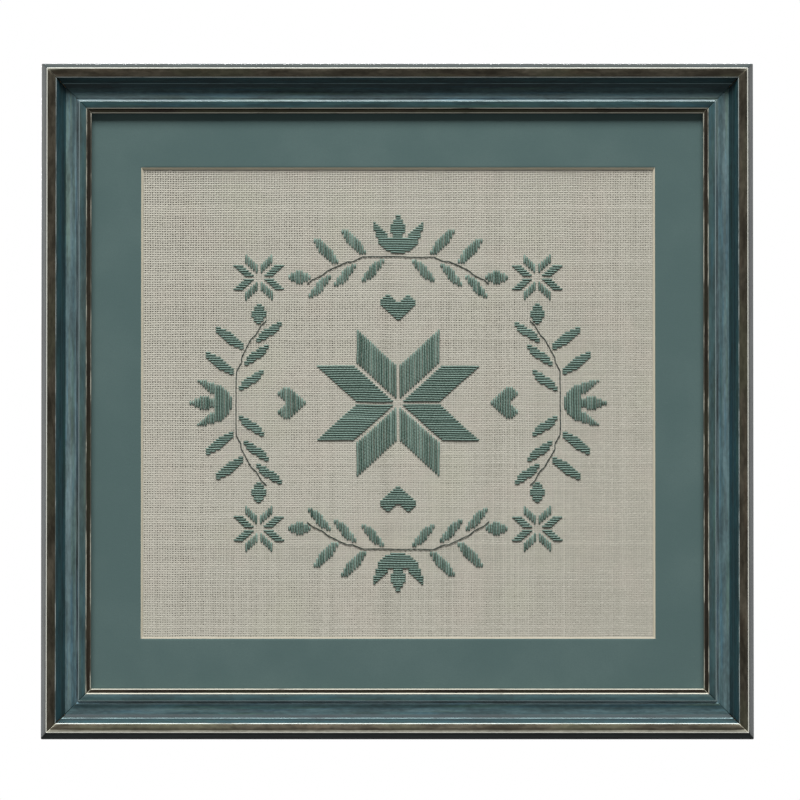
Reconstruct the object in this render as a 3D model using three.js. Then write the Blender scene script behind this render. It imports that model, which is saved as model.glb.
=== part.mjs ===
// A framed embroidery picture: a mitred moulding, a window mat, a stretched cloth and its backing board.
// Millimetres. +Z is up, the picture faces -Y and its back lies in the plane y = 0, against the wall.
// The origin is on the back of the top rail, half way along it and half way down its flat back face.

import * as THREE from 'three';

// Driving dimensions
const FRAME_WIDTH = 498;
const FRAME_HEIGHT = 473;
const MITRE_GAP = 0.3;
const CLEARANCE = 0.3;

// The moulding's section: how far in from the outer edge, and how far in front of the back
const MOULDING_WIDTH = 35;
const REBATE_WALL = 29;
const REBATE_DEPTH = 8.6;
const SECTION = [
  { name: 'outer back corner', inward: 0, forward: 0 },
  { name: 'foot of the slanted outer face', inward: 0, forward: 10 },
  { name: 'head of the slanted outer face', inward: 3.5, forward: 21.4 },
  { name: 'foot of the outer arris', inward: 3.65, forward: 21.75 },
  { name: 'head of the outer arris', inward: 3.9, forward: 22 },
  { name: 'outer edge of the rim', inward: 4.3, forward: 22 },
  { name: 'middle of the rim', inward: 7, forward: 21.8 },
  { name: 'inner edge of the rim', inward: 10, forward: 21.15 },
  { name: 'inner arris of the rim', inward: 10.55, forward: 20.7 },
  { name: 'foot of the recess wall', inward: 14, forward: 15.1 },
  { name: 'bead in the recess', inward: 14.5, forward: 14.9 },
  { name: 'outer edge of the band', inward: 17, forward: 12.7 },
  { name: 'middle of the band', inward: 20, forward: 12.6 },
  { name: 'rise of the band', inward: 22.6, forward: 12.85 },
  { name: 'inner edge of the band', inward: 24.55, forward: 13.35 },
  { name: 'outer side of the groove', inward: 24.8, forward: 12.9 },
  { name: 'inner side of the groove', inward: 26, forward: 13.15 },
  { name: 'head of the groove', inward: 26.2, forward: 14.05 },
  { name: 'outer edge of the step', inward: 26.55, forward: 14.35 },
  { name: 'middle of the step', inward: 29, forward: 14.15 },
  { name: 'inner edge of the step', inward: 31.15, forward: 13.7 },
  { name: 'inner arris of the step', inward: 31.85, forward: 13.3 },
  { name: 'outer edge of the lip', inward: 32.1, forward: 12.7 },
  { name: 'inner edge of the lip', inward: 34.3, forward: 12.65 },
  { name: 'sight arris', inward: MOULDING_WIDTH, forward: 12.2 },
  { name: 'sight edge at the ledge', inward: MOULDING_WIDTH, forward: REBATE_DEPTH },
  { name: 'ledge at the rebate wall', inward: REBATE_WALL, forward: REBATE_DEPTH },
  { name: 'rebate wall at the back', inward: REBATE_WALL, forward: 0 },
];

// The mat, whose window sits a little off centre
const MAT_THICKNESS = 1.4;
const WINDOW_WIDTH = 359.6;
const WINDOW_HEIGHT = 330.2;
const WINDOW_SHIFT_X = 0.5;
const WINDOW_SHIFT_Z = -1.3;

// The cloth and the board behind it
const CLOTH_WIDTH = 430;
const CLOTH_HEIGHT = 405;
const CLOTH_THICKNESS = 1;
const BOARD_THICKNESS = 3;

// Worked out from the sizes above
const CENTRE_Z = REBATE_WALL / 2 - FRAME_HEIGHT / 2;
const REBATE_WIDTH = FRAME_WIDTH - 2 * REBATE_WALL;
const REBATE_HEIGHT = FRAME_HEIGHT - 2 * REBATE_WALL;
const MAT_FACE = REBATE_DEPTH - CLEARANCE;
const CLOTH_FACE = MAT_FACE - MAT_THICKNESS - CLEARANCE;
const BOARD_FACE = CLOTH_FACE - CLOTH_THICKNESS - CLEARANCE;

// Materials
const lacquer = new THREE.MeshStandardMaterial({ color: 0x4a6a70, roughness: 0.35, metalness: 0.1 });
const matPaper = new THREE.MeshStandardMaterial({ color: 0x546a68, roughness: 0.9, metalness: 0 });
const evenweave = new THREE.MeshStandardMaterial({ color: 0xada99e, roughness: 0.95, metalness: 0 });
const board = new THREE.MeshStandardMaterial({ color: 0x8a6f52, roughness: 0.9, metalness: 0 });

// A rail lies along X with its outer edge down, and is sheared at both ends to make the mitres.
function railGeometry(length) {
  const section = new THREE.Shape(SECTION.map((point) => new THREE.Vector2(point.inward, point.forward)));
  const geometry = new THREE.ExtrudeGeometry(section, { depth: length, bevelEnabled: false });
  const position = geometry.getAttribute('position');
  const setBack = MITRE_GAP / Math.SQRT2;
  for (let i = 0; i < position.count; i += 1) {
    const inward = position.getX(i);
    const forward = position.getY(i);
    const cut = inward + setBack;
    const along = position.getZ(i) < length / 2 ? cut : length - cut;
    position.setXYZ(i, along - length / 2, -forward, inward);
  }
  geometry.computeVertexNormals();
  return geometry;
}

// Each rail is turned about the picture's middle and set out to its side of the frame.
function addRail(parent, name, length, distance, turn) {
  const side = new THREE.Group();
  side.rotation.y = turn;
  const rail = new THREE.Mesh(railGeometry(length), lacquer);
  rail.name = name;
  rail.position.z = -distance;
  side.add(rail);
  parent.add(side);
}

// A flat board between two depths, cut by a window whose edge slopes back at 45 degrees.
function matGeometry() {
  const halfWidth = REBATE_WIDTH / 2 - CLEARANCE;
  const halfHeight = REBATE_HEIGHT / 2 - CLEARANCE;
  const outline = rectangle(halfWidth, halfHeight, 0, 0);
  const backHalfWidth = WINDOW_WIDTH / 2 - MAT_THICKNESS;
  const backHalfHeight = WINDOW_HEIGHT / 2 - MAT_THICKNESS;
  outline.holes.push(rectangle(backHalfWidth, backHalfHeight, WINDOW_SHIFT_X, WINDOW_SHIFT_Z));
  const geometry = new THREE.ExtrudeGeometry(outline, { depth: MAT_THICKNESS, bevelEnabled: false });
  const position = geometry.getAttribute('position');
  for (let i = 0; i < position.count; i += 1) {
    let x = position.getX(i);
    let z = position.getY(i);
    const depth = position.getZ(i);
    const onWindow = Math.abs(x) < halfWidth - MAT_THICKNESS;
    if (onWindow && depth > MAT_THICKNESS / 2) {
      x += Math.sign(x) * MAT_THICKNESS;
      z += Math.sign(z) * MAT_THICKNESS;
    }
    position.setXYZ(i, x, -depth, z);
  }
  geometry.computeVertexNormals();
  return geometry;
}

function rectangle(halfWidth, halfHeight, x, y) {
  return new THREE.Shape([
    new THREE.Vector2(x - halfWidth, y - halfHeight),
    new THREE.Vector2(x + halfWidth, y - halfHeight),
    new THREE.Vector2(x + halfWidth, y + halfHeight),
    new THREE.Vector2(x - halfWidth, y + halfHeight),
  ]);
}

function addSheet(parent, name, width, height, thickness, face, material) {
  const sheet = new THREE.Mesh(new THREE.BoxGeometry(width, thickness, height), material);
  sheet.name = name;
  sheet.position.y = -face + thickness / 2;
  parent.add(sheet);
}

const picture = new THREE.Group();
picture.position.z = CENTRE_Z;

addRail(picture, 'rail_bottom', FRAME_WIDTH, FRAME_HEIGHT / 2, 0);
addRail(picture, 'rail_right', FRAME_HEIGHT, FRAME_WIDTH / 2, -Math.PI / 2);
addRail(picture, 'rail_top', FRAME_WIDTH, FRAME_HEIGHT / 2, Math.PI);
addRail(picture, 'rail_left', FRAME_HEIGHT, FRAME_WIDTH / 2, Math.PI / 2);

const mat = new THREE.Mesh(matGeometry(), matPaper);
mat.name = 'mat';
mat.position.y = -(MAT_FACE - MAT_THICKNESS);
picture.add(mat);

addSheet(picture, 'cloth', CLOTH_WIDTH, CLOTH_HEIGHT, CLOTH_THICKNESS, CLOTH_FACE, evenweave);
addSheet(
  picture,
  'backing_board',
  REBATE_WIDTH - 2 * CLEARANCE,
  REBATE_HEIGHT - 2 * CLEARANCE,
  BOARD_THICKNESS,
  BOARD_FACE,
  board,
);

export default picture;
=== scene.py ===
import math
import random

import bpy
import numpy as np
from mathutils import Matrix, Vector


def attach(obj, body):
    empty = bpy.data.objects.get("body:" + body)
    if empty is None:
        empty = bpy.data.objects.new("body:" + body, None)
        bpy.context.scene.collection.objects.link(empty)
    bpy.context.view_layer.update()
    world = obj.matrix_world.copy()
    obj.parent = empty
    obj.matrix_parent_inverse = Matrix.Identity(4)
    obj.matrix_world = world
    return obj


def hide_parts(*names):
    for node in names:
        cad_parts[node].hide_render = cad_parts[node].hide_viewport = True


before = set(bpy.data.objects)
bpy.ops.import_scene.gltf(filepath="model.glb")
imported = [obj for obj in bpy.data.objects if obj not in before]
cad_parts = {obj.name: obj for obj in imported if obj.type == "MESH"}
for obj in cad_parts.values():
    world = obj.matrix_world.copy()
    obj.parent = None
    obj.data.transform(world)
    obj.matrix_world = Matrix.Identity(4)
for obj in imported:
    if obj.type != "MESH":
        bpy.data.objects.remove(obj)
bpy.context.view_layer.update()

# A framed counted embroidery: moulding, window mat, evenweave cloth, stranded cotton and backing board.
# Lengths are in millimetres until a mesh is made. The picture faces -Y and its back is the plane y = 0.

MM = 0.001

# The picture as a whole
FRAME_WIDTH = 498
FRAME_HEIGHT = 473
FRAME_DEPTH = 22
CENTRE_Z = -222
MITRE_GAP = 0.04
REBATE_WALL = 29
FIT = 0.3

# The mat's window
MAT_FACE = 8.3
MAT_BACK = 6.9
WINDOW_WIDTH = 359.6
WINDOW_HEIGHT = 330.2
WINDOW_X = 0.5
WINDOW_Z = -1.3

# The cloth: its cut size, its thread count, and how its threads are spun and woven
CLOTH_WIDTH = 430
CLOTH_HEIGHT = 405
CLOTH_BACK = 5.35
GROUND_FACE = 6.0
WARP_PITCH = 1.77
WEFT_PITCH = 1.6
WARP_THREADS = 208
WEFT_THREADS = 214
WARP_HALF_WIDTH = 0.65
WEFT_HALF_WIDTH = 0.56
THINNEST_SHARE = 0.72
FATTEST_SHARE = 1.2
WEAVE_MIDDLE = 6.4
WEAVE_CRIMP = 0.07
THREAD_CROWN = 0.3

# The space that the weave keeps from the mat, and the ground from the weave
HAIR = 0.04

# How far the weave opens towards the window's top and left, and what that does to its threads. The opening
# and the last number also set the threads' tone, as painted light: paler towards the upper left and darker
# towards the right, most at the top.
OPEN_UPWARDS = 0.6
OPEN_LEFTWARDS = 0.4
THINNER_WHERE_OPEN = 0.26
HIGHER_WHERE_OPEN = 1.3
SHADE_TO_UPPER_RIGHT = 0.55

# How uneven the threads are: from one to the next, and along each one
UNEVEN_WIDTH = (0.1, 0.07)
UNEVEN_PLACE = (0.05, 0.035)
UNEVEN_TONE = (0.2, 0.12)
UNEVEN_HEIGHT = 0.03

# How the weave wanders in its own plane: how far, how much x and z count, the length of its waves, and a seed
WANDER_IN_X = ((0.16, 1, 0.35, 47.0, 21), (0.14, -0.2, 1, 38.0, 22))
WANDER_IN_Z = ((0.18, 1, -0.25, 52.0, 23), (0.12, 0.3, 1, 41.0, 24))

# Steps in the noise that keep neighbouring threads, stitches and strands from looking alike
THREAD_LAYER = 0.13
STITCH_LAYER = 0.37
STRAND_LAYER = 5.1

# The moulding's section, from the outer back corner round the front to the back of the rebate: how far in,
# how far forward, rounding, how far its finish is rubbed, finish of the corner, finish of the face after it
MOULDING = (
    (0.0, 0.0, 0.6, 0.4, "side", "side"),
    (0.0, 10.0, 4.0, 0.1, "side", "side"),
    (2.5, 18.4, 3.0, 0.1, "side", "side"),
    (3.5, 21.4, 0.1, -1.0, "side", "side"),
    (3.65, 21.75, 0.1, -1.0, "side", "arris"),
    (3.9, 22.0, 0.15, 1.0, "arris", "arris"),
    (4.3, 22.0, 0.2, 0.8, "arris", "rim"),
    (7.0, 21.8, 5.0, 0.0, "rim", "rim"),
    (10.0, 21.15, 0.5, 0.2, "rim", "rubbed"),
    (10.55, 20.7, 0.4, 1.0, "rubbed", "recess"),
    (14.0, 15.1, 0.2, 0.0, "recess", "bead"),
    (14.5, 14.9, 0.15, -0.8, "bead", "recess"),
    (17.0, 12.7, 0.15, 0.1, "recess", "band"),
    (20.0, 12.6, 10.0, 0.45, "band", "band"),
    (22.6, 12.85, 6.0, -0.2, "band", "band"),
    (24.45, 13.35, 0.1, 0.6, "band", "groove"),
    (24.7, 12.9, 0.1, -0.05, "groove", "groove"),
    (26.05, 13.15, 0.05, -0.05, "groove", "edge"),
    (26.2, 14.05, 0.1, 0.3, "edge", "edge"),
    (26.6, 14.35, 0.15, 0.3, "edge", "step"),
    (29.0, 14.15, 6.0, 0.0, "step", "step"),
    (31.15, 13.7, 0.35, 0.5, "step", "gilt"),
    (31.85, 13.3, 0.2, 1.0, "gilt", "lip"),
    (32.1, 12.7, 0.15, 0.0, "lip", "lip"),
    (34.3, 12.65, 0.2, 0.0, "lip", "gilt"),
    (34.9, 12.3, 0.15, 1.0, "gilt", "lip"),
    (35.0, 11.8, 0.15, 1.0, "lip", "lip"),
    (35.0, 8.6, 0.15, 0.0, "lip", "wood"),
    (29.0, 8.6, 0.1, 0.0, "wood", "wood"),
    (29.0, 0.0, 0.5, 0.0, "wood", "wood"),
)


# A Mix node has its own sockets for numbers, for vectors and for colours. These are the ones for colours.
MIX_SHARE, MIX_FIRST, MIX_SECOND, MIX_RESULT = 0, 6, 7, 2


# Materials: sums written with sockets
class Wire:
    """A socket of a node tree. A sum written with it adds Math nodes."""

    def __init__(self, recipe, socket):
        self.recipe = recipe
        self.socket = socket

    def __add__(self, other):
        return self.recipe.sum("ADD", self, other)

    def __sub__(self, other):
        return self.recipe.sum("SUBTRACT", self, other)

    def __mul__(self, other):
        return self.recipe.sum("MULTIPLY", self, other)

    def __rsub__(self, other):
        return self.recipe.sum("SUBTRACT", other, self)

    __radd__ = __add__
    __rmul__ = __mul__


class Recipe:
    """The nodes of one finish, or of the studio's own light."""

    def __init__(self, holder):
        holder.use_nodes = True
        self.tree = holder.node_tree
        self.tree.nodes.clear()

    def node(self, kind, settings=None, sockets=None, output=0):
        made = self.tree.nodes.new(kind)
        for name, value in (settings or {}).items():
            setattr(made, name, value)
        for name, value in (sockets or {}).items():
            if isinstance(value, Wire):
                self.tree.links.new(value.socket, made.inputs[name])
            else:
                made.inputs[name].default_value = value
        return Wire(self, made.outputs[output]) if len(made.outputs) else None

    def sum(self, operation, *values):
        return self.node("ShaderNodeMath", {"operation": operation}, dict(enumerate(values)))

    def between(self, value, low, high):
        """0 below low, 1 above high, and smooth between them."""
        settings = {"interpolation_type": "SMOOTHSTEP"}
        return self.node("ShaderNodeMapRange", settings, {"Value": value, "From Min": low, "From Max": high})

    def mix(self, amount, first, second, how="MIX"):
        settings = {"data_type": "RGBA", "blend_type": how}
        sockets = {MIX_SHARE: amount, MIX_FIRST: first, MIX_SECOND: second}
        return self.node("ShaderNodeMix", settings, sockets, MIX_RESULT)

    def dimmed(self, colour, amount):
        return self.node("ShaderNodeVectorMath", {"operation": "SCALE"}, {0: colour, "Scale": amount})

    def split(self, vector):
        """The three numbers of a vector."""
        first = self.node("ShaderNodeSeparateXYZ", {}, {"Vector": vector})
        return [Wire(self, socket) for socket in first.socket.node.outputs]

    def grain(self):
        """Metres along a piece's grain and across it, and a number that tells the pieces apart."""
        return self.node("ShaderNodeAttribute", {"attribute_name": "grain"}, {}, "Vector")

    def amount(self, name):
        """A number that the mesh gives at each point, such as how rubbed it is."""
        return self.node("ShaderNodeAttribute", {"attribute_name": name}, {}, "Fac")

    def place(self):
        """Metres from the object's own origin."""
        return self.node("ShaderNodeTexCoord", {}, {}, "Object")

    def noise(self, vector, scale, detail=3.0, roughness=0.55, distortion=0.0):
        sockets = {
            "Vector": vector,
            "Scale": scale,
            "Detail": detail,
            "Roughness": roughness,
            "Distortion": distortion,
        }
        return self.node("ShaderNodeTexNoise", {}, sockets)

    def marks(self, vector, x, y, z, detail=3.0, roughness=0.55, distortion=0.0):
        """Noise drawn out along a vector, with x, y and z marks a metre in its three directions."""
        drawn_out = self.node("ShaderNodeVectorMath", {"operation": "MULTIPLY"}, {0: vector, 1: (x, y, z)})
        return self.noise(drawn_out, 1, detail, roughness, distortion)

    def surface(self, colour, roughness, height, depth, **uniform):
        """Ends a finish: its colour, its roughness and how its surface rises, in millimetres."""
        bump = self.node("ShaderNodeBump", {}, {"Distance": depth * MM, "Height": height})
        sockets = {"Base Color": colour, "Roughness": roughness, "Normal": bump}
        sockets.update({name.replace("_", " "): value for name, value in uniform.items()})
        shader = self.node("ShaderNodeBsdfPrincipled", {}, sockets)
        self.node("ShaderNodeOutputMaterial", {}, {"Surface": shader})


def finish(name, make):
    material = bpy.data.materials.new(name)
    make(Recipe(material))
    return material


def paint(red, green, blue):
    return (red, green, blue, 1.0)


# Finishes of the moulding
def lacquer(deep, middle, pale, dullness, coat):
    """Teal lacquer brushed along the rail in thin uneven coats, thinner where it is rubbed. The rail's tone,
    which is painted light and shade, also moves it towards its middle and pale colours.
    """

    def make(r):
        grain = r.grain()
        broad = r.marks(grain, 9, 90, 1, 3)
        streaks = r.marks(grain, 12, 560, 1, 4, 0.6, 0.4)
        hairs = r.marks(grain, 50, 2600, 1, 2)
        specks = r.marks(grain, 500, 900, 1, 2)
        # Real rubbing mixed with the rail's tone, which is painted light and shade
        thin = r.amount("rub") * 0.55 + r.amount("tone") * 0.45
        colour = r.mix(r.between(thin + streaks * 0.9, 0.25, 1.0), paint(*deep), paint(*middle))
        colour = r.mix(r.between(thin + broad * 0.9, 0.7, 1.4), colour, paint(*pale))
        colour = r.mix(r.between(hairs, 0.35, 0.75) * 0.4, colour, paint(*deep))
        colour = r.mix(r.between(specks, 0.62, 0.8) * 0.25, colour, paint(*pale))
        blue = r.marks(grain, 14, 420, 3, 3, 0.6)
        green = r.marks(grain, 11, 300, 5, 3, 0.6)
        colour = r.mix(r.between(blue, 0.5, 0.68) * 0.8, colour, paint(0.74, 0.98, 1.16), "MULTIPLY")
        colour = r.mix(r.between(green, 0.52, 0.7) * 0.8, colour, paint(1.12, 1.1, 0.86), "MULTIPLY")
        cloud = r.marks(grain, 26, 190, 9, 4, 0.6)
        mottle = r.marks(grain, 210, 620, 6, 3, 0.6)
        dimming = 0.64 + r.between(cloud, 0.36, 0.64) * 0.5 + r.between(mottle, 0.38, 0.62) * 0.24
        colour = r.dimmed(colour, dimming)
        roughness = dullness + streaks * 0.16 + hairs * 0.06
        height = streaks * 0.6 + hairs * 0.5 + specks * 0.3
        r.surface(colour, roughness, height, 0.05, Coat_Weight=coat, Coat_Roughness=0.2)

    return make


def bronze(deep, warm, olive, dullness, metal):
    """Dark bronze leaf, dragged thin, with reddish and olive patches."""

    def make(r):
        grain = r.grain()
        patches = r.marks(grain, 32, 130, 1, 4, 0.6)
        cloud = r.marks(grain, 15, 60, 7, 3)
        blush = r.marks(grain, 19, 90, 4, 3)
        drag = r.marks(grain, 40, 1900, 1, 3)
        rub = r.amount("rub")
        colour = r.mix(r.between(patches, 0.36, 0.66), paint(*deep), paint(*warm))
        colour = r.mix(r.between(cloud, 0.46, 0.62) * 0.85, colour, paint(*olive))
        colour = r.mix(r.between(blush, 0.54, 0.7) * 0.4, colour, paint(1.12, 0.9, 0.8), "MULTIPLY")
        colour = r.mix(r.between(drag, 0.45, 0.8) * 0.45, colour, paint(*warm))
        # Where the rail's tone is low, on the top and bottom rails, the bronze is painted more worn: painted
        # light
        worn = r.between(rub + drag * 0.6 - r.amount("tone") * 0.5, 0.5, 1.0)
        colour = r.mix(worn * 0.85, colour, paint(0.6, 0.59, 0.48))
        mottle = r.marks(grain, 190, 420, 6, 3, 0.6)
        haze = r.marks(grain, 21, 45, 2, 3)
        dimming = 0.68 + r.between(haze, 0.36, 0.64) * 0.3 + r.between(mottle, 0.38, 0.62) * 0.26
        # Painted light: brighter on the rails whose tone is low
        colour = r.dimmed(colour, dimming + (1 - r.amount("tone")) * 0.14)
        roughness = dullness + patches * 0.18 + drag * 0.08
        height = drag * 0.8 + patches * 0.4
        r.surface(colour, roughness, height, 0.03, Metallic=metal)

    return make


def rubbed(bright, under, share, dullness, metal, painted_side_shade=0.0):
    """An arris where the finish is rubbed through to a pale ground. Where the rail's tone is high, on the
    left and right rails, the last argument hides more of that ground: painted shade.
    """

    def make(r):
        grain = r.grain()
        bare = r.marks(grain, 60, 900, 1, 3, 0.6)
        fine = r.marks(grain, 300, 2400, 1, 2)
        slow = r.marks(grain, 19, 60, 3, 3, 0.6)
        # Painted shade: the rail's tone hides the pale ground on the left and right rails
        hidden = bare + fine * 0.25 + (slow - 0.5) * 0.9 + r.amount("tone") * painted_side_shade
        left = r.between(hidden, share, share + 0.25)
        colour = r.mix(left, paint(*bright), paint(*under))
        colour = r.mix(r.between(fine, 0.5, 0.8) * 0.25, colour, paint(*under))
        roughness = dullness + bare * 0.15
        r.surface(colour, roughness, bare + fine * 0.5, 0.02, Metallic=metal)

    return make


def bare_wood(r):
    """Planed softwood behind the lacquer."""
    grain = r.grain()
    rings = r.marks(grain, 7, 240, 1, 4, 0.6, 0.8)
    fibres = r.marks(grain, 90, 3200, 1, 3)
    stain = r.marks(grain, 25, 40, 3, 3)
    colour = r.mix(r.between(rings, 0.35, 0.7), paint(0.5, 0.36, 0.21), paint(0.32, 0.2, 0.105))
    colour = r.mix(r.between(fibres, 0.4, 0.8) * 0.4, colour, paint(0.22, 0.14, 0.08))
    colour = r.mix(r.between(stain, 0.55, 0.75) * 0.3, colour, paint(0.2, 0.16, 0.12))
    roughness = 0.62 + fibres * 0.2
    r.surface(colour, roughness, rings * 0.5 + fibres, 0.12)


# Finishes of the mat, the board, the cloth and the threads
def mat_paper(r):
    """Matt grey-teal paper with a faint tooth and stray fibres."""
    place = r.place()
    cloud = r.noise(place, 14, 3)
    tooth = r.noise(place, 1500, 3)
    fibres = r.marks(place, 260, 900, 1400, 3, 0.6, 0.8)
    colour = r.mix(r.between(cloud, 0.35, 0.7), paint(0.089, 0.149, 0.144), paint(0.107, 0.17, 0.163))
    colour = r.mix(r.between(tooth, 0.42, 0.72) * 0.35, colour, paint(0.083, 0.133, 0.13))
    colour = r.mix(r.between(fibres, 0.66, 0.78) * 0.4, colour, paint(0.16, 0.22, 0.21))
    roughness = 0.82 + tooth * 0.12
    r.surface(colour, roughness, tooth + fibres * 0.6, 0.05, Specular_IOR_Level=0.25)


def mat_core(r):
    """The cream core that the bevel cut shows. Its colours are painted light and shade: pale enough to light
    the bevel that faces down, and darker where it faces up to the lamp above.
    """
    place = r.place()
    plies = r.marks(place, 60, 2600, 60, 3)
    tooth = r.noise(place, 1900, 2)
    _, _, upwards = r.split(r.node("ShaderNodeNewGeometry", {}, {}, "Normal"))
    colour = r.mix(r.between(plies, 0.4, 0.7), paint(0.7, 0.65, 0.51), paint(0.62, 0.57, 0.44))
    colour = r.mix(r.between(tooth, 0.5, 0.8) * 0.25, colour, paint(0.52, 0.47, 0.36))
    # Painted shade: darker where the bevel faces up to the lamp
    colour = r.mix(r.between(upwards, 0.0, 0.6), colour, paint(0.62, 0.62, 0.64), "MULTIPLY")
    roughness = 0.85 + tooth * 0.1
    r.surface(colour, roughness, tooth + plies * 0.5, 0.04, Specular_IOR_Level=0.25)


def fibreboard(r):
    """Plain brown pressed board, smooth with dark and pale fibres."""
    place = r.place()
    cloud = r.noise(place, 18, 4)
    fibres = r.marks(place, 700, 900, 260, 4, 0.65, 1.2)
    flecks = r.noise(place, 900, 2)
    colour = r.mix(r.between(cloud, 0.35, 0.7), paint(0.25, 0.158, 0.088), paint(0.222, 0.137, 0.075))
    colour = r.mix(r.between(fibres, 0.5, 0.75) * 0.5, colour, paint(0.36, 0.25, 0.15))
    colour = r.mix(r.between(flecks, 0.62, 0.78) * 0.6, colour, paint(0.1, 0.06, 0.035))
    roughness = 0.66 + fibres * 0.2
    r.surface(colour, roughness, fibres + flecks * 0.5, 0.12)


def cloth_thread(pale, shade, depth):
    """One evenweave thread: soft spun cotton, slightly uneven in tone."""

    def make(r):
        grain = r.grain()
        tone = r.amount("tone")
        place = r.place()
        spin = r.marks(grain, 700, 2600, 1, 3, 0.6)
        slub = r.marks(grain, 60, 400, 1, 3)
        cloud = r.noise(place, 26, 3)
        blush = r.noise(place, 17, 2)
        colour = r.mix(r.between(spin + tone * 0.5, 0.3, 0.85), paint(*shade), paint(*pale))
        colour = r.mix(r.between(slub, 0.5, 0.8) * 0.35, colour, paint(*shade))
        colour = r.mix(r.between(cloud, 0.45, 0.7) * 0.22, colour, paint(0.62, 0.545, 0.47))
        colour = r.mix(r.between(blush, 0.5, 0.72) * 0.22, colour, paint(0.56, 0.57, 0.43))
        roughness = 0.82 + spin * 0.12
        height = spin + slub * 0.6
        sheen = {"Sheen_Weight": 0.12, "Sheen_Roughness": 0.5, "Specular_IOR_Level": 0.2}
        r.surface(colour, roughness, height, depth, **sheen)

    return make


# How fast a strand is twisted, in radians a metre
TWIST = 2600


def stranded_cotton(pale, deep, dullness):
    """A twisted, softly shining strand of embroidery cotton."""

    def make(r):
        grain = r.grain()
        tone = r.amount("tone")
        along, around, _ = r.split(grain)
        twist = r.sum("SINE", along * TWIST + around * 2 * math.pi)
        fuzz = r.marks(grain, 900, 3, 1, 3)
        colour = r.mix(r.between(tone + twist * 0.1, 0.1, 0.95), paint(*deep), paint(*pale))
        colour = r.mix(r.between(fuzz, 0.5, 0.8) * 0.35, colour, paint(*deep))
        roughness = dullness + fuzz * 0.15
        sheen = {"Sheen_Weight": 0.15, "Sheen_Roughness": 0.4, "Specular_IOR_Level": 0.45}
        r.surface(colour, roughness, twist * 0.5 + fuzz, 0.05, **sheen)

    return make


def floor_paint(r):
    """Pale matt studio floor."""
    place = r.place()
    cloud = r.noise(place, 1.5, 3)
    dust = r.noise(place, 60, 2)
    colour = r.mix(cloud, paint(0.8, 0.8, 0.79), paint(0.76, 0.76, 0.75))
    r.surface(colour, 0.8 + dust * 0.1, dust, 0.1)


# Meshes
def mesh_piece(name, points, faces, materials, material_of_face=None, smooth=None, **values):
    """A new object from points in millimetres. values are named attributes, one number or triple a point."""
    mesh = bpy.data.meshes.new(name)
    mesh.from_pydata((np.asarray(points, float) * MM).tolist(), [], faces)
    for material in materials:
        mesh.materials.append(material)
    if material_of_face is not None:
        mesh.polygons.foreach_set("material_index", material_of_face)
    shaded = np.ones(len(mesh.polygons), bool) if smooth is None else smooth
    mesh.polygons.foreach_set("use_smooth", shaded)
    for label, value in values.items():
        value = np.asarray(value, np.float32)
        kind, field = ("FLOAT_VECTOR", "vector") if value.ndim == 2 else ("FLOAT", "value")
        mesh.attributes.new(label, kind, "POINT").data.foreach_set(field, value.ravel())
    mesh.update()
    piece = bpy.data.objects.new(name, mesh)
    bpy.context.scene.collection.objects.link(piece)
    return piece


def placed(x, z, forward):
    """Points at x and z from the middle of the frame, and so far in front of the picture's back."""
    x, z, forward = np.broadcast_arrays(x, z, forward)
    return np.stack([x, -forward, z + CENTRE_Z], -1)


# The waves that make up a ripple, as shares of its length, and what their heights add up to
RIPPLE_SHARES = (1.0, 0.63, 0.41)
RIPPLE_HEIGHT = 1.4


def ripple(value, length, seed):
    """A smooth uneven wave, about -1 to 1, with humps about length apart."""
    dice = random.Random(seed)
    total = 0.0
    for share in RIPPLE_SHARES:
        size = length * share * dice.uniform(0.85, 1.15)
        total = total + share * np.sin(2 * math.pi * value / size + dice.uniform(0, 2 * math.pi))
    return total / RIPPLE_HEIGHT


# A rounding takes at most this share of the faces beside it, and turns at most so many degrees a step
LONGEST_REACH = 0.45
ROUNDING_STEP = 16


def rounded_outline(corners):
    """Rounds each corner of a section. Gives its points, how rubbed each is, and the finish after each."""
    points, rubs, finishes = [], [], []
    count = len(corners)
    for i, (inward, forward, radius, rub, corner_finish, face_finish) in enumerate(corners):
        here = Vector((inward, forward))
        before = Vector(corners[i - 1][:2]) - here
        after = Vector(corners[(i + 1) % count][:2]) - here
        opening = before.angle(after)
        longest = LONGEST_REACH * min(before.length, after.length)
        reach = min(radius / math.tan(opening / 2), longest)
        radius = reach * math.tan(opening / 2)
        backwards, onwards = before.normalized(), after.normalized()
        start, end = here + backwards * reach, here + onwards * reach
        centre = here + (backwards + onwards).normalized() * (radius / math.sin(opening / 2))
        turn = math.pi - opening
        steps = max(2, math.ceil(math.degrees(turn) / ROUNDING_STEP))
        first, last = start - centre, end - centre
        for step in range(steps + 1):
            share = step / steps
            spoke = first * math.sin((1 - share) * turn) + last * math.sin(share * turn)
            points.append(centre + spoke / math.sin(turn))
            rubs.append(rub)
            finishes.append(corner_finish if step < steps else face_finish)
    return points, rubs, finishes


def with_more_points(points, rubs, finishes, longest):
    """Adds points along the long faces of a section."""
    out_points, out_rubs, out_finishes = [], [], []
    for i, point in enumerate(points):
        j = (i + 1) % len(points)
        steps = max(1, math.ceil((points[j] - point).length / longest))
        for step in range(steps):
            share = step / steps
            out_points.append(point.lerp(points[j], share))
            out_rubs.append(rubs[i] * (1 - share) + rubs[j] * share)
            out_finishes.append(finishes[i])
    return out_points, out_rubs, out_finishes


def outward_normals(section):
    """The way out of a section at each of its points."""
    ahead = np.roll(section, -1, 0) - section
    behind = section - np.roll(section, 1, 0)
    ahead /= np.linalg.norm(ahead, axis=1, keepdims=True)
    behind /= np.linalg.norm(behind, axis=1, keepdims=True)
    along = ahead + behind
    along /= np.linalg.norm(along, axis=1, keepdims=True)
    return np.stack([-along[:, 1], along[:, 0]], 1)


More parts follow.
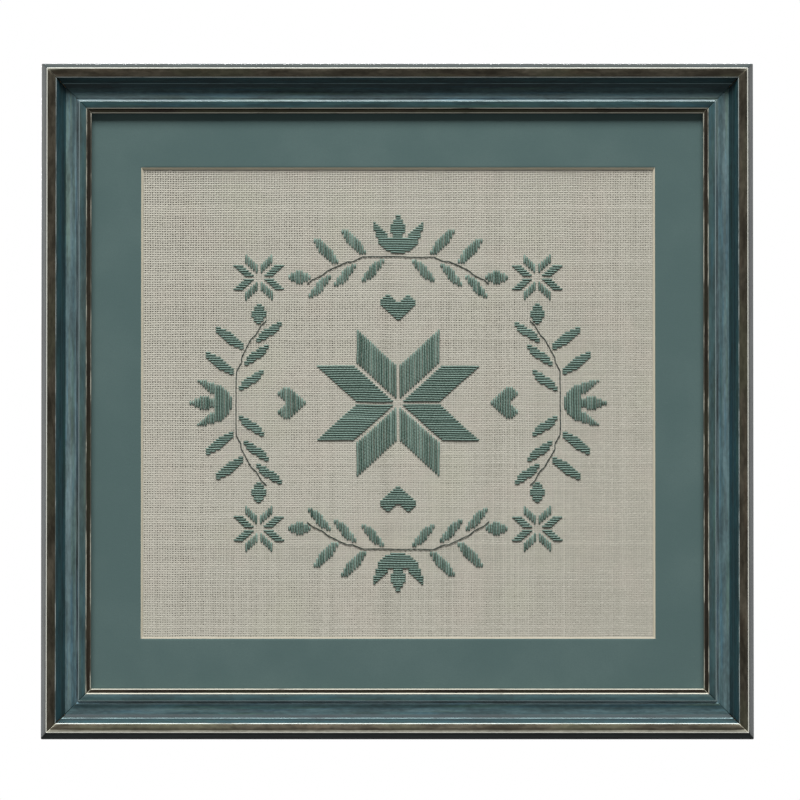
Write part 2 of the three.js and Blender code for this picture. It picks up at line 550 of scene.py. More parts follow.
# Each side's length, its distance from the middle, its direction, the way in, its tone, and how much it is
# worn. The tone is painted light and shade, set side by side. A high tone, on the left and right rails, makes
# the lacquer paler, the groove near black and the bronze and gilt duller. A low tone, on the top and bottom
# rails, makes the groove pale and the bronze and gilt brighter.
RAIL_SIDES = {
    "bottom": (FRAME_WIDTH, FRAME_HEIGHT / 2, (1, 0), (0, 1), 0.12, 1.25),
    "right": (FRAME_HEIGHT, FRAME_WIDTH / 2, (0, 1), (-1, 0), 0.75, 0.8),
    "top": (FRAME_WIDTH, FRAME_HEIGHT / 2, (-1, 0), (0, -1), 0.1, 0.5),
    "left": (FRAME_HEIGHT, FRAME_WIDTH / 2, (0, -1), (1, 0), 0.9, 0.8),
}

# Towards a mitre: how far from the end, and how far the faces are sanded down there
MITRE_EASE = ((0.0, 0.35), (0.14, 0.17), (0.4, 0.04), (0.9, 0.0), (4.0, 0.0), (9.0, 0.0), (18.0, 0.0))
FACE_STEP = 1.6
RAIL_STEP = 5.0

# How unevenly the arrises are rubbed and the faces planed: how far, and how long the waves are
ARRIS_WAVE, ARRIS_WAVE_LENGTH = 0.004, 14.0
FACE_WAVE, FACE_WAVE_LENGTH = 0.006, 90.0

# How the tone falls towards a mitre and in the joint itself, and over what lengths
MITRE_FALL, MITRE_FALL_LENGTH = 0.4, 8.0
JOINT_FALL, JOINT_FALL_LENGTH = 1.3, 0.35

# What sets one rail apart from the next: where its waves start, their seeds, and where it lies in the grain
ARRIS_WAVE_SHIFT, FACE_WAVE_SHIFT = 31, 17
ARRIS_SEED, FACE_SEED = 11, 5
GRAIN_SHIFT, GRAIN_LAYER = 0.7, 0.37


def rail(side, number, finishes):
    """One length of the moulding, mitred at both ends, with its arrises eased by hand."""
    length, distance, along, inward, tone, wear = RAIL_SIDES[side]
    outline, rubs, names = with_more_points(*rounded_outline(MOULDING), FACE_STEP)
    section = np.array([tuple(p) for p in outline])
    rubs = np.array(rubs) * wear
    normals = outward_normals(section)
    steps = np.linalg.norm(np.diff(section, axis=0), axis=1)
    perimeter = np.concatenate([[0], np.cumsum(steps)])
    ends = length / 2 - section[:, 0] - MITRE_GAP / 2
    inner = math.ceil(length / RAIL_STEP)
    clear = MITRE_EASE[-1][0]
    rings = [(-ends + d, sink) for d, sink in MITRE_EASE]
    rings += [((2 * k / inner - 1) * (ends - clear), 0.0) for k in range(1, inner)]
    rings += [(ends - d, sink) for d, sink in reversed(MITRE_EASE)]
    points, grains, tones = [], [], []
    for where, sink in rings:
        arris = ripple(where + ARRIS_WAVE_SHIFT * number, ARRIS_WAVE_LENGTH, ARRIS_SEED + number)
        face = ripple(where + FACE_WAVE_SHIFT * number, FACE_WAVE_LENGTH, FACE_SEED + number)
        wobble = rubs * ARRIS_WAVE * arris + FACE_WAVE * face
        to_mitre = ends - np.abs(where)
        mitre_fall = MITRE_FALL * np.exp(-to_mitre / MITRE_FALL_LENGTH)
        joint_fall = JOINT_FALL * np.exp(-to_mitre / JOINT_FALL_LENGTH)
        tones.append(tone - mitre_fall - joint_fall)
        worked = section + normals * (wobble - sink)[:, None]
        flat = np.outer(where, along) + np.outer(worked[:, 0] - distance, inward)
        points.append(placed(flat[:, 0], flat[:, 1], np.clip(worked[:, 1], 0, FRAME_DEPTH)))
        layer = np.full(len(where), GRAIN_LAYER * number)
        grains.append(np.stack([where * MM + GRAIN_SHIFT * number, perimeter * MM, layer], 1))
    count = len(section)
    faces, kinds = [], []
    for k in range(len(rings) - 1):
        for i in range(count):
            j = (i + 1) % count
            faces.append((k * count + i, k * count + j, (k + 1) * count + j, (k + 1) * count + i))
            kinds.append(names[i])
    faces.append(tuple(reversed(range(count))))
    faces.append(tuple(range((len(rings) - 1) * count, len(rings) * count)))
    kinds += ["wood", "wood"]
    order = list(finishes)
    return mesh_piece(
        "moulding_" + side,
        np.concatenate(points),
        faces,
        [finishes[name] for name in order],
        [order.index(kind) for kind in kinds],
        [True] * (len(faces) - 2) + [False, False],
        grain=np.concatenate(grains),
        rub=np.tile(rubs, len(rings)),
        tone=np.concatenate(tones),
    )


# Points along each side of the mat
MAT_POINTS = 90


def window_mat(paper, core):
    """The mat board: a paper face, a window cut on a bevel, and the cream core that the cut shows."""
    half_width = FRAME_WIDTH / 2 - REBATE_WALL - FIT
    half_height = FRAME_HEIGHT / 2 - REBATE_WALL - FIT
    thick = MAT_FACE - MAT_BACK
    outer = (half_width, half_height, 0.0, 0.0)
    window = (WINDOW_WIDTH / 2, WINDOW_HEIGHT / 2, WINDOW_X, WINDOW_Z)
    back = (WINDOW_WIDTH / 2 - thick, WINDOW_HEIGHT / 2 - thick, WINDOW_X, WINDOW_Z)
    # Round the board: an outline, how far forward, how far inside the outline, and whether the face after it
    # is core and is smooth
    rings = [
        (outer, MAT_BACK, 0.0, False, True),
        (outer, MAT_FACE - 0.15, 0.0, False, True),
        (outer, MAT_FACE, 0.15, False, True),
        (outer, MAT_FACE, 3.0, False, True),
        (window, MAT_FACE, -8.0, False, True),
        (window, MAT_FACE, -1.5, False, True),
        (window, MAT_FACE, -0.12, False, True),
        (window, MAT_FACE - 0.06, 0.0, True, False),
        (back, MAT_BACK + 0.7, -0.7, True, False),
        (back, MAT_BACK + 0.05, -0.05, True, True),
        (back, MAT_BACK, 0.1, False, True),
    ]
    shares = np.linspace(-1, 1, MAT_POINTS, endpoint=False)
    ones = np.ones(MAT_POINTS)
    points = []
    for (half_x, half_z, x, z), forward, inset, _, _ in rings:
        hx, hz = half_x - inset, half_z - inset
        ring_x = np.concatenate([shares * hx, ones * hx, -shares * hx, -ones * hx])
        ring_z = np.concatenate([-ones * hz, shares * hz, ones * hz, -shares * hz])
        points.append(placed(ring_x + x, ring_z + z, forward))
    count = 4 * MAT_POINTS
    faces, kinds, smooth = [], [], []
    for k, (_, _, _, is_core, is_smooth) in enumerate(rings):
        following = (k + 1) % len(rings)
        for i in range(count):
            j = (i + 1) % count
            faces.append((k * count + i, k * count + j, following * count + j, following * count + i))
            kinds.append(1 if is_core else 0)
            smooth.append(is_smooth)
    return mesh_piece("window_mat", np.concatenate(points), faces, [paper, core], kinds, smooth)


# A sheet swells in waves of these lengths
SWELL_LENGTH_X = 61.0
SWELL_LENGTH_Z = 53.0
SHEET_TONE = 0.3


def slab(name, width, height, back, front, rounding, cells, material, swell):
    """A flat sheet or board with eased edges, in cells that can swell a little."""
    xs = np.linspace(-width / 2, width / 2, cells + 1)
    zs = np.linspace(-height / 2, height / 2, cells + 1)
    xs = np.concatenate([[xs[0]], [xs[0] + rounding], xs[1:-1], [xs[-1] - rounding], [xs[-1]]])
    zs = np.concatenate([[zs[0]], [zs[0] + rounding], zs[1:-1], [zs[-1] - rounding], [zs[-1]]])
    columns, rows = len(xs), len(zs)
    grid_x, grid_z = np.meshgrid(xs, zs, indexing="ij")
    edge = np.zeros((columns, rows), bool)
    edge[[0, -1], :] = True
    edge[:, [0, -1]] = True
    hump = swell * ripple(grid_x, SWELL_LENGTH_X, 3) * ripple(grid_z, SWELL_LENGTH_Z, 4)
    front_points = placed(grid_x, grid_z, front - edge * rounding + np.where(edge, 0, hump)).reshape(-1, 3)
    back_points = placed(grid_x, grid_z, back + edge * rounding).reshape(-1, 3)
    total = columns * rows
    faces = []
    for i in range(columns - 1):
        for j in range(rows - 1):
            a, b, c, d = i * rows + j, (i + 1) * rows + j, (i + 1) * rows + j + 1, i * rows + j + 1
            faces.append((a, b, c, d))
            faces.append((total + d, total + c, total + b, total + a))
    rim = [i * rows for i in range(columns)]
    rim += [(columns - 1) * rows + j for j in range(1, rows)]
    rim += [i * rows + rows - 1 for i in range(columns - 2, -1, -1)]
    rim += range(rows - 2, 0, -1)
    for a, b in zip(rim, rim[1:] + rim[:1]):
        faces.append((b, a, total + a, total + b))
    points = np.concatenate([front_points, back_points])
    grain = np.stack([points[:, 0] * MM, points[:, 2] * MM, np.zeros(len(points))], 1)
    tone = np.full(len(points), SHEET_TONE)
    return mesh_piece(name, points, faces, [material], grain=grain, tone=tone)


# The weave
def wander(x, z, waves):
    """A few waves that cross the weave, added up."""
    return sum(far * ripple(of_x * x + of_z * z, length, seed) for far, of_x, of_z, length, seed in waves)


def cloth_drift(x, z):
    """How the weave wanders in its own plane, as hand-stretched cloth does."""
    return wander(x, z, WANDER_IN_X), wander(x, z, WANDER_IN_Z)


def uneven(dice, spreads, threads, crossings):
    """Random differences from one thread to the next, and along each thread."""
    between, along = spreads
    return between * dice.normal(size=(threads, 1)) + along * dice.normal(size=(threads, crossings))


def woven_threads(name, upright, material, seed):
    """All the threads that run one way, each a crimped ribbon that goes over and under the others."""
    dice = np.random.default_rng(seed)
    threads, crossings = (WARP_THREADS, WEFT_THREADS) if upright else (WEFT_THREADS, WARP_THREADS)
    pitch, step = (WARP_PITCH, WEFT_PITCH) if upright else (WEFT_PITCH, WARP_PITCH)
    half = WARP_HALF_WIDTH if upright else WEFT_HALF_WIDTH
    number, crossing = np.meshgrid(np.arange(threads), np.arange(crossings), indexing="ij")
    middle = (number - threads / 2 + 0.5) * pitch
    along = (crossing - crossings / 2 + 0.5) * step
    over = np.where((number + crossing + (0 if upright else 1)) % 2 == 0, 1.0, -1.0)
    x, z = (middle, along) if upright else (along, middle)
    share_x, share_z = x / WINDOW_WIDTH, z / WINDOW_HEIGHT
    open_weave = np.clip(OPEN_UPWARDS * share_z - OPEN_LEFTWARDS * share_x, -0.5, 0.5)
    painted_falloff = SHADE_TO_UPPER_RIGHT * share_x * (share_z + 0.5)
    relief = 1 + HIGHER_WHERE_OPEN * open_weave
    fat = 1 + uneven(dice, UNEVEN_WIDTH, threads, crossings) - THINNER_WHERE_OPEN * open_weave
    fat = np.clip(fat, THINNEST_SHARE, FATTEST_SHARE)
    middle = middle + uneven(dice, UNEVEN_PLACE, threads, crossings)
    lift = UNEVEN_HEIGHT * dice.normal(size=(threads, crossings))
    # Painted light and shade: paler where the weave opens and darker towards the right, painted light falling
    # off across the cloth
    tone = 0.5 + uneven(dice, UNEVEN_TONE, threads, crossings) + open_weave - painted_falloff
    tone = np.clip(tone, 0, 1)
    points, grains, tones = [], [], []
    for across in (-1, 0, 1):
        side = middle + across * half * fat
        x, z = (side, along) if upright else (along, side)
        drift_x, drift_z = cloth_drift(x, z)
        crown = THREAD_CROWN * relief if across == 0 else 0.0
        forward = WEAVE_MIDDLE + WEAVE_CRIMP * relief * over + lift + crown
        forward = np.clip(forward, GROUND_FACE, MAT_BACK - HAIR)
        points.append(placed(x + drift_x + WINDOW_X, z + drift_z + WINDOW_Z, forward))
        grains.append(np.stack([along * MM, side * MM, number * THREAD_LAYER], -1))
        tones.append(tone)
    points = np.stack(points, 2).reshape(-1, 3)
    grains = np.stack(grains, 2).reshape(-1, 3)
    tones = np.stack(tones, 2).reshape(-1)
    index = np.arange(len(points)).reshape(threads, crossings, 3)
    a, b = index[:, :-1, :-1], index[:, :-1, 1:]
    c, d = index[:, 1:, 1:], index[:, 1:, :-1]
    quads = np.stack([a, b, c, d] if upright else [d, c, b, a], -1).reshape(-1, 4)
    return mesh_piece(name, points, quads.tolist(), [material], grain=grains, tone=tones)


# The design, in threads from its middle. A stitch goes from hole to hole: (x, z, x, z).
def eight(stitches):
    """A motif's stitches, mirrored into the eight parts of the design."""
    out = []
    for x0, z0, x1, z1 in stitches:
        for sx in (1, -1):
            for sz in (1, -1):
                out.append((sx * x0, sz * z0, sx * x1, sz * z1))
                out.append((sz * z0, sx * x0, sz * z1, sx * x1))
    return sorted(set(out))


def four(stitches):
    """A motif's stitches, turned to the four sides of the design."""
    out = []
    for x0, z0, x1, z1 in stitches:
        for _ in range(4):
            x0, z0, x1, z1 = -z0, x0, -z1, x1
            out.append((x0, z0, x1, z1))
    return sorted(set(out))


def moved(stitches, x, z):
    return [(x0 + x, z0 + z, x1 + x, z1 + z) for x0, z0, x1, z1 in stitches]


def petal(length):
    """Half of one point of an eight-pointed star."""
    return [(i, i + 1, i, i + length) for i in range(1, length + 1)]


def level_stitches(half_widths, z):
    """Stitches across the middle, one above another."""
    return [(-half, z + n, half, z + n) for n, half in enumerate(half_widths)]


def paired_stitches(spans, z):
    """Stitches on both sides of the middle, one above another."""
    out = []
    for n, (near, far) in enumerate(spans):
        out += [(near, z + n, far, z + n), (-far, z + n, -near, z + n)]
    return out


def heart():
    return level_stitches((1, 2, 3, 4, 5, 6, 7, 7), 0) + paired_stitches(((1, 7), (2, 6), (3, 5)), 8)


def tulip():
    cup = level_stitches((3, 5, 6, 7, 8, 8, 8), 0)
    sides = paired_stitches(((4, 9), (4, 9), (5, 9), (6, 10), (7, 10), (8, 10), (9, 10)), 7)
    middle = level_stitches((2, 2, 3, 3, 3, 3, 2, 2, 1, 1), 7)
    return cup + sides + middle


LEAF_POINT = 0.75


def leaf(length, width, lean):
    """A leaf of upright stitches that rises or falls as it goes out."""
    out = []
    for i in range(length):
        half = width / 2 * math.sin(math.pi * (i + 0.5) / length) ** LEAF_POINT
        low, high = round(lean * i - half), round(lean * i + half)
        if high - low < 2:
            low, high = lean * i - 1, lean * i + 1
        out.append((i, low, i, high))
    return out


STAR_POINT = 16
FLORET_POINT = 5
FLORET_AT = 55
HEART_AT = 37
TULIP_AT = 66

# Leaves: where each starts, how long and how wide it is, and how it leans
LEAVES = (
    (13, 66, 10, 7, 1),
    (24, 62, 10, 7, 1),
    (35, 55, 9, 6, 0),
    (6, 62, 9, 6, -1),
    (17, 60, 9, 6, -1),
    (27, 55, 9, 6, -1),
)

# The points that a stem goes through
STEM = ((0, 64), (4, 64), (8, 64), (12, 64), (16, 63), (20, 62), (24, 60), (28, 58), (32, 55), (36, 52))


def star_stitches():
    return eight(petal(STAR_POINT))


def flower_stitches():
    florets = four(moved(eight(petal(FLORET_POINT)), FLORET_AT, FLORET_AT))
    return four(moved(heart(), 0, HEART_AT)) + four(moved(tulip(), 0, TULIP_AT)) + florets


def leaf_stitches():
    out = []
    for x, z, length, width, lean in LEAVES:
        out += eight(moved(leaf(length, width, lean), x, z))
    return out


def stem_stitches():
    out = []
    for (x0, z0), (x1, z1) in zip(STEM, STEM[1:]):
        middle = ((x0 + x1) / 2, round((z0 + z1) / 2))
        out += [(x0, z0, *middle), (*middle, x1, z1)]
    return eight(out)


# The stitches. How one leaves its hole: how far along, how far forward, and how far its strands have spread
STITCH_ENDS = ((0.0, 5.9, 0.35), (0.12, 6.4, 0.5), (0.4, 6.82, 0.8), (0.9, 6.97, 1.0))
LONGEST_END = 0.45
STITCH_STEP = 3.6
STITCH_TOP = 7.03
STITCH_BOW = 0.06
LONG_STITCH = 12
STRAND_SIDES = 6
STRAND_CROWN = 0.22
STRAND_AT_HOLE = 0.75
# How much paler a stitch's middle strand is painted, and half as much darker its side strands: a painted
# highlight on the ridge and painted shade at its sides
RIDGE_LIGHT_AND_SHADE = 0.5

# Upright stitches spread wider and vary more in tone
UPRIGHT_SPREAD = 0.14
UPRIGHT_VARIETY = 0.5

# How uneven a hand's stitches are
UNEVEN_SPREAD = 0.04
UNEVEN_STITCH_TONE = 0.1
UNEVEN_LIFT = 0.035
UNEVEN_SLIP = 0.05
STRAND_SWAY = 0.05
SWAY_RATE = 0.9
SWAY_BETWEEN_STRANDS = 2.1
FULL_TURN = 6.28


def stitch_path(length, top):
    """Distance along a stitch, height and spread of its strands, from hole to hole."""
    ends = [(min(d, LONGEST_END * length), height, spread) for d, height, spread in STITCH_ENDS]
    clear = ends[-1][0]
    inner = max(1, round((length - 2 * clear) / STITCH_STEP))
    middle = [(clear + (length - 2 * clear) * k / (inner + 1), top, 1.0) for k in range(1, inner + 1)]
    back = [(length - d, height, spread) for d, height, spread in reversed(ends)]
    return np.array(ends + middle + back)


def strand_tube(start, ahead, distance, side, forward, thickness):
    """The points of a tube along a strand, a ring at each distance from its start."""
    sideways = np.array([-ahead[1], ahead[0]])
    centre_x = start[0] + ahead[0] * distance + sideways[0] * side
    centre_z = start[1] + ahead[1] * distance + sideways[1] * side
    drift_x, drift_z = cloth_drift(centre_x, centre_z)
    slope_d, slope_f = np.gradient(distance), np.gradient(forward)
    size = np.hypot(slope_d, slope_f)
    slope_d, slope_f = slope_d / size, slope_f / size
    ring = []
    for angle in np.arange(STRAND_SIDES) * 2 * math.pi / STRAND_SIDES:
        out, up = thickness * math.cos(angle), thickness * math.sin(angle)
        x = centre_x + drift_x + sideways[0] * out - ahead[0] * slope_f * up
        z = centre_z + drift_z + sideways[1] * out - ahead[1] * slope_f * up
        ring.append(placed(x + WINDOW_X, z + WINDOW_Z, forward + slope_d * up))
    return np.stack(ring, 1).reshape(-1, 3)


def strand_grain(distance, layer):
    """How far along a strand each point is, how far round it, and which strand it is."""
    shape = (len(distance), STRAND_SIDES)
    along = np.broadcast_to((distance * MM)[:, None], shape)
    around = np.broadcast_to(np.arange(STRAND_SIDES) / STRAND_SIDES, shape)
    return np.stack([along, around, np.full(shape, layer)], -1).reshape(-1, 3)


def tube_faces(first, rings):
    """The sides and the two ends of a tube whose points start at first."""
    faces = []
    for k in range(rings - 1):
        for i in range(STRAND_SIDES):
            a = first + k * STRAND_SIDES + i
            b = first + k * STRAND_SIDES + (i + 1) % STRAND_SIDES
            faces.append((a, a + STRAND_SIDES, b + STRAND_SIDES, b))
    last = first + (rings - 1) * STRAND_SIDES
    faces.append(tuple(first + i for i in range(STRAND_SIDES)))
    faces.append(tuple(last + i for i in reversed(range(STRAND_SIDES))))
    return faces


def stitched(name, stitches, strands, radius, spacing, lift, material, seed):
    """Stitches of stranded cotton. Each strand is a tube that comes up one hole and goes down another."""
    dice = random.Random(seed)
    points, grains, tones, faces = [], [], [], []
    total = 0
    for number, (x0, z0, x1, z1) in enumerate(stitches):
        start = np.array([x0 * WARP_PITCH, z0 * WEFT_PITCH])
        run = np.array([x1 * WARP_PITCH, z1 * WEFT_PITCH]) - start
        length = float(np.linalg.norm(run))
        ahead = run / length
        upright = abs(ahead[1])
        distance, height, spread = stitch_path(length, STITCH_TOP + lift).T
        raised = np.sin(np.pi * distance / length)
        bow = STITCH_BOW * raised * min(1.0, length / LONG_STITCH)
        wide = spacing * (1 + UPRIGHT_SPREAD * upright + dice.gauss(0, UNEVEN_SPREAD))
        variety = UNEVEN_STITCH_TONE * (1 + UPRIGHT_VARIETY * upright)
        stitch_tone = dice.gauss(0.5, variety)
        stitch_lift = dice.gauss(0, UNEVEN_LIFT)
        stitch_slip = dice.gauss(0, UNEVEN_SLIP)
        phase = dice.uniform(0, FULL_TURN)
        for strand in range(strands):
            place = strand - (strands - 1) / 2
            course = distance * SWAY_RATE + phase + SWAY_BETWEEN_STRANDS * strand
            sway = STRAND_SWAY * np.sin(course) + stitch_slip
            side = place * wide * spread + sway * raised
            crown = STRAND_CROWN * (1 - abs(place)) * spread
            forward = height + (stitch_lift + bow) * raised + crown
            thickness = radius * (STRAND_AT_HOLE + (1 - STRAND_AT_HOLE) * spread)
            tube = strand_tube(start, ahead, distance, side, forward, thickness)
            # Painted highlight on the middle strand, painted shade on the side strands
            ridge_light_and_shade = RIDGE_LIGHT_AND_SHADE if place == 0 else -RIDGE_LIGHT_AND_SHADE / 2
            tone = min(1, max(0, stitch_tone + ridge_light_and_shade + dice.gauss(0, variety)))
            points.append(tube)
            grains.append(strand_grain(distance, number * STITCH_LAYER + strand * STRAND_LAYER))
            tones.append(np.full(len(tube), tone))
            faces += tube_faces(total, len(distance))
            total += len(tube)
    return mesh_piece(
        name,
        np.concatenate(points),
        faces,
        [material],
        grain=np.concatenate(grains),
        tone=np.concatenate(tones),
    )


# Colours of the lacquers: where they lie thick, where they thin out, and where they are thinnest. The
# groove's three are painted light and shade instead: its pale first colour shows where the rail's tone is
# low, on the top and bottom rails, and its near-black others where the tone is high, on the left and right
# rails.
DARK_SLATE = (0.014, 0.028, 0.028), (0.1, 0.115, 0.112), (0.15, 0.165, 0.155)
TEAL = (0.004, 0.023, 0.027), (0.011, 0.047, 0.055), (0.024, 0.071, 0.082)
GREY_TEAL = (0.037, 0.085, 0.092), (0.084, 0.146, 0.158), (0.15, 0.216, 0.228)
SLATE = (0.024, 0.068, 0.073), (0.037, 0.08, 0.084), (0.092, 0.125, 0.112)
GROOVE_LIGHT_AND_SHADE = (0.19, 0.28, 0.3), (0.001, 0.005, 0.006), (0.001, 0.005, 0.006)

# Colours of the bronze leaf: dark, warm and olive
BRONZE = (0.066, 0.058, 0.041), (0.138, 0.122, 0.089), (0.108, 0.106, 0.069)
DARK_BRONZE = (0.017, 0.013, 0.008), (0.038, 0.03, 0.018), (0.03, 0.03, 0.015)

# Colours of the arrises: where they are bare, and what is left between
PALE_GROUND = (0.95, 0.96, 0.86), (0.36, 0.35, 0.27)
INNER_ARRIS = (0.55, 0.61, 0.59), (0.13, 0.17, 0.17)
BEAD = (0.09, 0.16, 0.17), (0.035, 0.07, 0.078)
STEP_EDGE = (0.42, 0.53, 0.54), (0.16, 0.23, 0.24)
OLD_GILT = (0.54, 0.53, 0.44), (0.1, 0.095, 0.075)

# Colours of the threads: pale and shaded
WARP_COTTON = (0.57, 0.55, 0.47), (0.42, 0.405, 0.337)
WEFT_COTTON = (0.605, 0.585, 0.502), (0.45, 0.433, 0.36)
# The cloth below the weave is painted a darker cream: painted shade in the holes between the threads
SHADED_CLOTH_BELOW = (0.32, 0.3, 0.245), (0.22, 0.205, 0.165)
SAGE = (0.302, 0.435, 0.371), (0.03, 0.082, 0.057)
DARK_GREEN = (0.07, 0.11, 0.085), (0.03, 0.05, 0.04)

BOARD_BACK = 2.3
BOARD_FACE = 5.3


# Everything in its place
def moulding_finishes():
    outer_arris = rubbed(*PALE_GROUND, share=0.78, dullness=0.3, metal=0.25)
    inner_arris = rubbed(*INNER_ARRIS, share=0.7, dullness=0.38, metal=0.3, painted_side_shade=0.25)
    bead = rubbed(*BEAD, share=0.6, dullness=0.25, metal=0.3, painted_side_shade=0.5)
    old_gilt = rubbed(*OLD_GILT, share=0.76, dullness=0.52, metal=0.2, painted_side_shade=0.38)
    return {
        "wood": finish("bare wood", bare_wood),
        "side": finish("dark lacquer on the outer side", lacquer(*DARK_SLATE, dullness=0.36, coat=0.2)),
        "arris": finish("outer arris rubbed pale", outer_arris),
        "rim": finish("bronze rim", bronze(*BRONZE, dullness=0.34, metal=0.8)),
        "rubbed": finish("inner arris of the rim", inner_arris),
        "recess": finish("deep teal lacquer", lacquer(*TEAL, dullness=0.5, coat=0.03)),
        "bead": finish("bead in the recess", bead),
        "band": finish("grey-teal lacquer", lacquer(*GREY_TEAL, dullness=0.46, coat=0.12)),
        # The groove's lacquer is painted light and shade: pale on the top and bottom rails, near black on the
        # left and right
        "groove": finish("lacquer in the groove", lacquer(*GROOVE_LIGHT_AND_SHADE, dullness=0.45, coat=0.05)),
        "edge": finish("worn edge of the step", rubbed(*STEP_EDGE, share=0.74, dullness=0.26, metal=0.35)),
        "step": finish("slate teal lacquer", lacquer(*SLATE, dullness=0.4, coat=0.15)),
        "gilt": finish("old gilt line", old_gilt),
        "lip": finish("bronze lip", bronze(*DARK_BRONZE, dullness=0.45, metal=0.6)),
    }


def build_frame():
    finishes = moulding_finishes()
    for number, side in enumerate(RAIL_SIDES):
        piece = rail(side, number, finishes)
        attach(piece, "root")
        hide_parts("rail_" + side)


def build_mat():
    mat = window_mat(finish("mat paper", mat_paper), finish("mat core", mat_core))
    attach(mat, "root")
    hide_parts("mat")


def build_board():
    width = FRAME_WIDTH - 2 * REBATE_WALL - 2 * FIT
    height = FRAME_HEIGHT - 2 * REBATE_WALL - 2 * FIT
    pressed = finish("pressed board", fibreboard)
    board = slab("board", width, height, BOARD_BACK, BOARD_FACE, 0.3, 12, pressed, swell=0.0)
    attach(board, "root")
    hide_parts("backing_board")


def build_cloth():
    spun = finish("evenweave thread", cloth_thread(*WARP_COTTON, depth=0.05))
    weft_spun = finish("evenweave weft", cloth_thread(*WEFT_COTTON, depth=0.05))
    # Painted shade: the ground shows as darker cream in the holes of the weave
    below = finish("cloth between the threads", cloth_thread(*SHADED_CLOTH_BELOW, depth=0.04))
    front = GROUND_FACE - HAIR
    ground = slab("cloth_ground", CLOTH_WIDTH, CLOTH_HEIGHT, CLOTH_BACK, front, 0.12, 40, below, swell=0.03)
    warp = woven_threads("cloth_warp", True, spun, seed=7)
    weft = woven_threads("cloth_weft", False, weft_spun, seed=8)
    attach(ground, "root")
    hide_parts("cloth")
    for piece in (warp, weft):
        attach(piece, "root")
    needlework = build_needlework()


def build_needlework():
    cotton = finish("sage cotton", stranded_cotton(*SAGE, dullness=0.42))
    dark_cotton = finish("dark green cotton", stranded_cotton(*DARK_GREEN, dullness=0.5))
    satin = {"strands": 3, "radius": 0.26, "spacing": 0.45, "lift": 0.0, "material": cotton}
    thin = {"strands": 2, "radius": 0.19, "spacing": 0.3, "lift": -0.1, "material": dark_cotton}
    needlework = [
        stitched("satin_star", star_stitches(), seed=1, **satin),
        stitched("satin_flowers", flower_stitches(), seed=2, **satin),
        stitched("satin_leaves", leaf_stitches(), seed=3, **satin),
        stitched("backstitch_stems", stem_stitches(), seed=4, **thin),
    ]
    for piece in needlework:
        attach(piece, "root")
    return needlework


# Studio. The camera aims a hair to the right of the frame's middle and above it.
FLOOR_Z = -1.2
FLOOR_RADIUS = 7.0
FLOOR_SIDES = 96
AIM = Vector((0.00185, 0.0, CENTRE_Z * MM + 0.0012))
CAMERA_DISTANCE = 10.0
CAMERA_DROP = 3.5
VIEW_WIDTH = 0.56
SENSOR = 36.0
LAMP_DISTANCE = 9.0
KEY_DIRECTION = Vector((-0.05, -1.0, 1.84))
KEY_WIDTH = 7.5
KEY_HEIGHT = 3.4
KEY_POWER = 1340
REAR_DIRECTION = Vector((-0.06, 1.0, 0.2))
REAR_WIDTH = 2.0
REAR_POWER = 500

# How strongly the room lights the picture: everywhere, from the front, from the floor, from the wall behind
ROOM_GLOW = 0.08
FRONT_GLOW = 0.33
LEFT_GAIN = 0.1
FLOOR_GLOW = 0.4
WALL_GLOW = 0.5


def studio_floor():
    turns = [2 * math.pi * i / FLOOR_SIDES for i in range(FLOOR_SIDES)]
    radius = FLOOR_RADIUS / MM
    points = [(radius * math.cos(turn), radius * math.sin(turn), FLOOR_Z / MM) for turn in turns]
    face = tuple(range(FLOOR_SIDES))
    floor = mesh_piece("studio_floor", points, [face], [finish("studio floor", floor_paint)])
    floor.visible_diffuse = False
    floor.visible_glossy = False


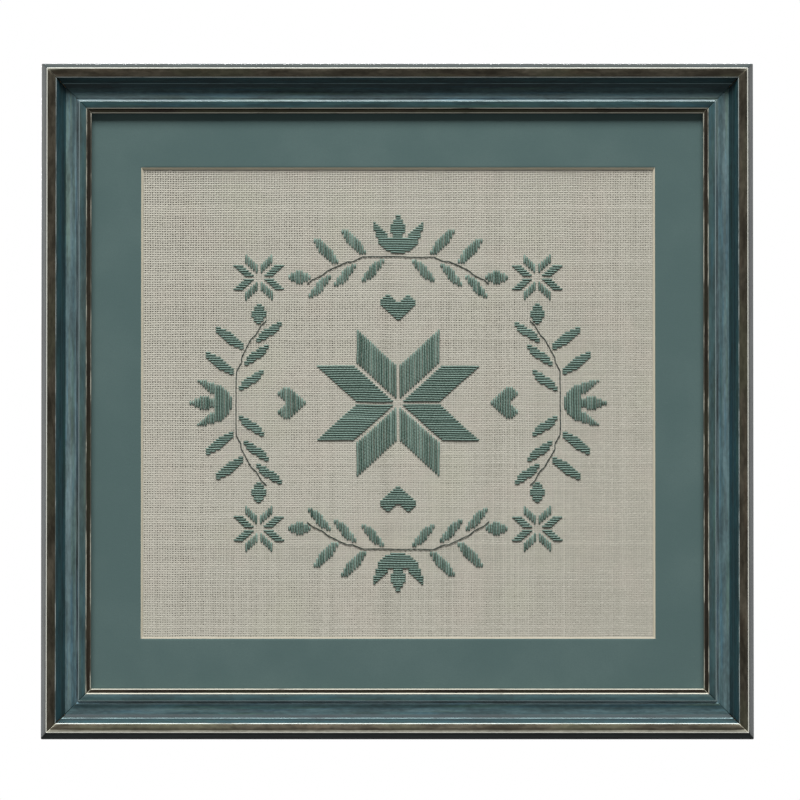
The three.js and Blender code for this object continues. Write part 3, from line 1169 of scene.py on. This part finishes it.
def lamp(name, direction, width, height, power):
    """A soft lamp that points at the picture from some direction."""
    away = direction.normalized()
    light = bpy.data.lights.new(name, "AREA")
    light.shape = "RECTANGLE"
    light.size = width
    light.size_y = height
    light.energy = power
    holder = bpy.data.objects.new(name, light)
    bpy.context.scene.collection.objects.link(holder)
    holder.location = AIM + away * LAMP_DISTANCE
    holder.rotation_euler = (-away).to_track_quat("-Z", "Y").to_euler()
    holder.visible_camera = False


def room_light():
    """White to the camera, and soft light from the front, the floor and the wall behind."""
    world = bpy.data.worlds.new("studio")
    bpy.context.scene.world = world
    r = Recipe(world)
    x, y, z = r.split(r.node("ShaderNodeTexCoord", {}, {}, "Generated"))
    around = r.between(y, -0.45, 0.25) * r.between(z, -0.4, 0.15)
    floor = r.between(z, -0.25, -0.7) * r.between(y, 0.0, -0.4)
    wall = r.between(y, 0.45, 0.75) * r.between(z, -0.3, 0.0) * r.between(z, 0.45, 0.15)
    level = ROOM_GLOW + around * (FRONT_GLOW - x * LEFT_GAIN) + floor * FLOOR_GLOW + wall * WALL_GLOW
    seen = r.node("ShaderNodeLightPath", {}, {}, "Is Camera Ray")
    strength = seen + (1 - seen) * level
    background = r.node("ShaderNodeBackground", {}, {"Color": paint(1, 1, 1), "Strength": strength})
    r.node("ShaderNodeOutputWorld", {}, {"Surface": background})


def camera():
    drop = math.radians(CAMERA_DROP)
    data = bpy.data.cameras.new("camera")
    data.sensor_width = SENSOR
    data.lens = SENSOR * CAMERA_DISTANCE / VIEW_WIDTH
    data.clip_start = 0.1
    data.clip_end = 100
    holder = bpy.data.objects.new("camera", data)
    bpy.context.scene.collection.objects.link(holder)
    away = Vector((0, -math.cos(drop), -math.sin(drop)))
    holder.location = AIM + away * CAMERA_DISTANCE
    holder.rotation_euler = (-away).to_track_quat("-Z", "Y").to_euler()
    bpy.context.scene.camera = holder


build_frame()
build_mat()
build_board()
build_cloth()
studio_floor()
lamp("key", KEY_DIRECTION, KEY_WIDTH, KEY_HEIGHT, KEY_POWER)
lamp("rear", REAR_DIRECTION, REAR_WIDTH, REAR_WIDTH, REAR_POWER)
room_light()
camera()
bpy.context.scene.view_settings.view_transform = "Standard"
